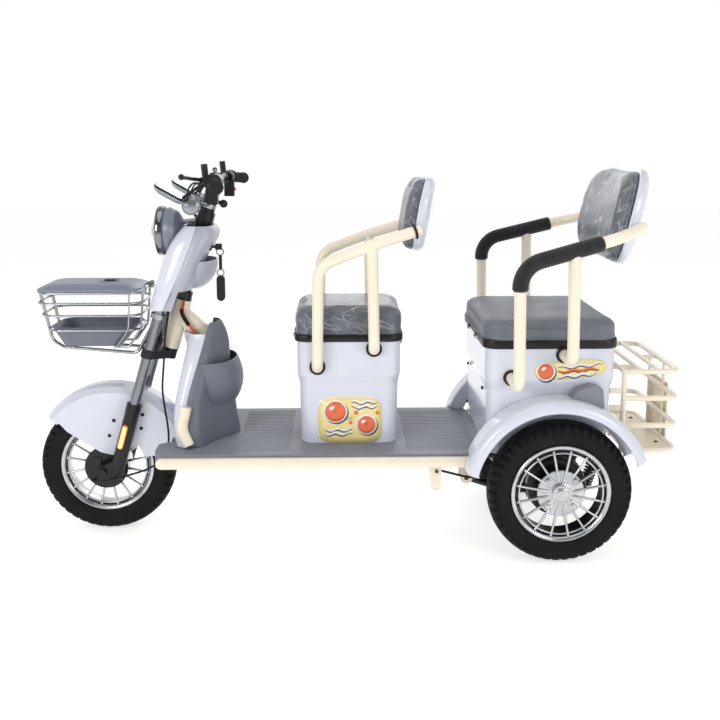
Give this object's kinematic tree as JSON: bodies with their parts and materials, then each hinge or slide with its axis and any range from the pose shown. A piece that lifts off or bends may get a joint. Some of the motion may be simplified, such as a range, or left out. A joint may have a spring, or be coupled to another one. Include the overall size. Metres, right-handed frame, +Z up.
{
  "type": "electric mobility tricycle",
  "caption": "Two-seat electric mobility tricycle with a low flat deck, box seats with lifting lids, handrails, front and rear baskets and a steered front wheel.",
  "frame": {"origin": "on the ground under the middle of the vehicle's box", "axes": "+Z up, the vehicle faces -X, its left side is -Y"},
  "size_m": [1.8889, 0.7278, 1.109],
  "materials": {
    "lavender_plastic": "glossy pale lavender moulded plastic",
    "grey_plastic": "mid grey moulded plastic",
    "light_grey_plastic": "light grey moulded plastic",
    "slate_plastic": "slate grey moulded plastic",
    "black_plastic": "black moulded plastic",
    "cream_paint": "cream powder coat",
    "black_paint": "black paint",
    "chrome": "bright chrome plate",
    "silver_wire": "satin silver wire",
    "cast_silver": "satin silver casting",
    "tyre_rubber": "black tyre rubber",
    "black_rubber": "black rubber",
    "foam": "charcoal foam sleeve",
    "grey_leatherette": "grey leatherette",
    "lamp_lens": "clear lens",
    "red_lens": "red lens",
    "orange_sleeve": "orange cable sleeve"
  },
  "bodies": {
    "chassis": {"frame_neck": "cream_paint", "ladder_frame": "cream_paint", "deck_rails": "cream_paint", "floor_deck": "grey_plastic", "leg_shield_outer": "lavender_plastic", "leg_shield_inner": "grey_plastic", "shield_tubes": "cream_paint", "storage_pocket": "grey_plastic", "mid_seat_box": "lavender_plastic", "rear_seat_box": "lavender_plastic", "battery_pack": "black_plastic", "mid_rails": "cream_paint", "rear_rails": "cream_paint", "rail_grommets": "black_rubber", "armrest_grips": "foam", "back_shells": "lavender_plastic", "back_pads": "grey_leatherette", "rear_fenders": "lavender_plastic", "fender_lamps": "red_lens", "rear_axle": "black_paint", "rear_brakes": "black_paint", "swing_arm": "black_paint", "rear_shocks": "black_paint", "rear_basket": "cream_paint", "basket_floor": "cream_paint", "tail_lamp": "red_lens", "wiring_leads": "orange_sleeve"},
    "front_wheel": {"front_tyre": "tyre_rubber", "front_rim": "cast_silver"},
    "rear_wheel_left": {"rear_tyre_left": "tyre_rubber", "rear_rim_left": "cast_silver"},
    "rear_wheel_right": {"rear_tyre_right": "tyre_rubber", "rear_rim_right": "cast_silver"},
    "steering": {"steering_stem": "black_paint", "fork_tubes": "chrome", "fork_legs": "black_paint", "front_axle": "black_paint", "front_brake_cable": "black_rubber", "front_fender": "lavender_plastic", "front_fairing": "lavender_plastic", "rear_fairing": "light_grey_plastic", "glove_pocket": "grey_plastic", "headlamp_bowl": "grey_plastic", "headlamp_lens": "lamp_lens", "bar_stem": "black_paint", "handlebar": "black_paint", "hand_grips": "black_rubber", "bar_controls": "black_plastic", "turn_signals": "light_grey_plastic", "mirrors": "light_grey_plastic", "key_set": "black_plastic", "basket_frame": "silver_wire", "basket_tray": "slate_plastic"},
    "basket_lid": {"basket_lid": "slate_plastic"},
    "mid_seat_lid": {"mid_lid_pan": "black_plastic", "mid_cushion": "grey_leatherette"},
    "rear_seat_lid": {"rear_lid_pan": "black_plastic", "rear_cushion": "grey_leatherette"}
  },
  "joints": [
    {"name": "steering", "type": "hinge", "parent": "chassis", "child": "steering", "pos_m": [-0.545, 0, 0.563], "axis": [0.284, 0, 0.9588], "range_deg": [-40, 40]},
    {"name": "front_wheel_spin", "type": "hinge", "parent": "steering", "child": "front_wheel", "pos_m": [-0.742, 0, 0.2025], "axis": [0, 1, 0], "continuous": true},
    {"name": "rear_wheel_left_spin", "type": "hinge", "parent": "chassis", "child": "rear_wheel_left", "pos_m": [0.575, -0.262, 0.2025], "axis": [0, 1, 0], "continuous": true},
    {"name": "rear_wheel_right_spin", "type": "hinge", "parent": "chassis", "child": "rear_wheel_right", "pos_m": [0.575, 0.262, 0.2025], "axis": [0, 1, 0], "continuous": true},
    {"name": "mid_seat_hinge", "type": "hinge", "parent": "chassis", "child": "mid_seat_lid", "pos_m": [-0.171, 0, 0.606], "axis": [0, -1, 0], "range_deg": [0, 75]},
    {"name": "rear_seat_hinge", "type": "hinge", "parent": "chassis", "child": "rear_seat_lid", "pos_m": [0.361, 0, 0.606], "axis": [0, -1, 0], "range_deg": [0, 75]},
    {"name": "basket_lid_hinge", "type": "hinge", "parent": "steering", "child": "basket_lid", "pos_m": [-0.605, 0, 0.749], "axis": [0, 1, 0], "range_deg": [0, 65]}
  ]
}
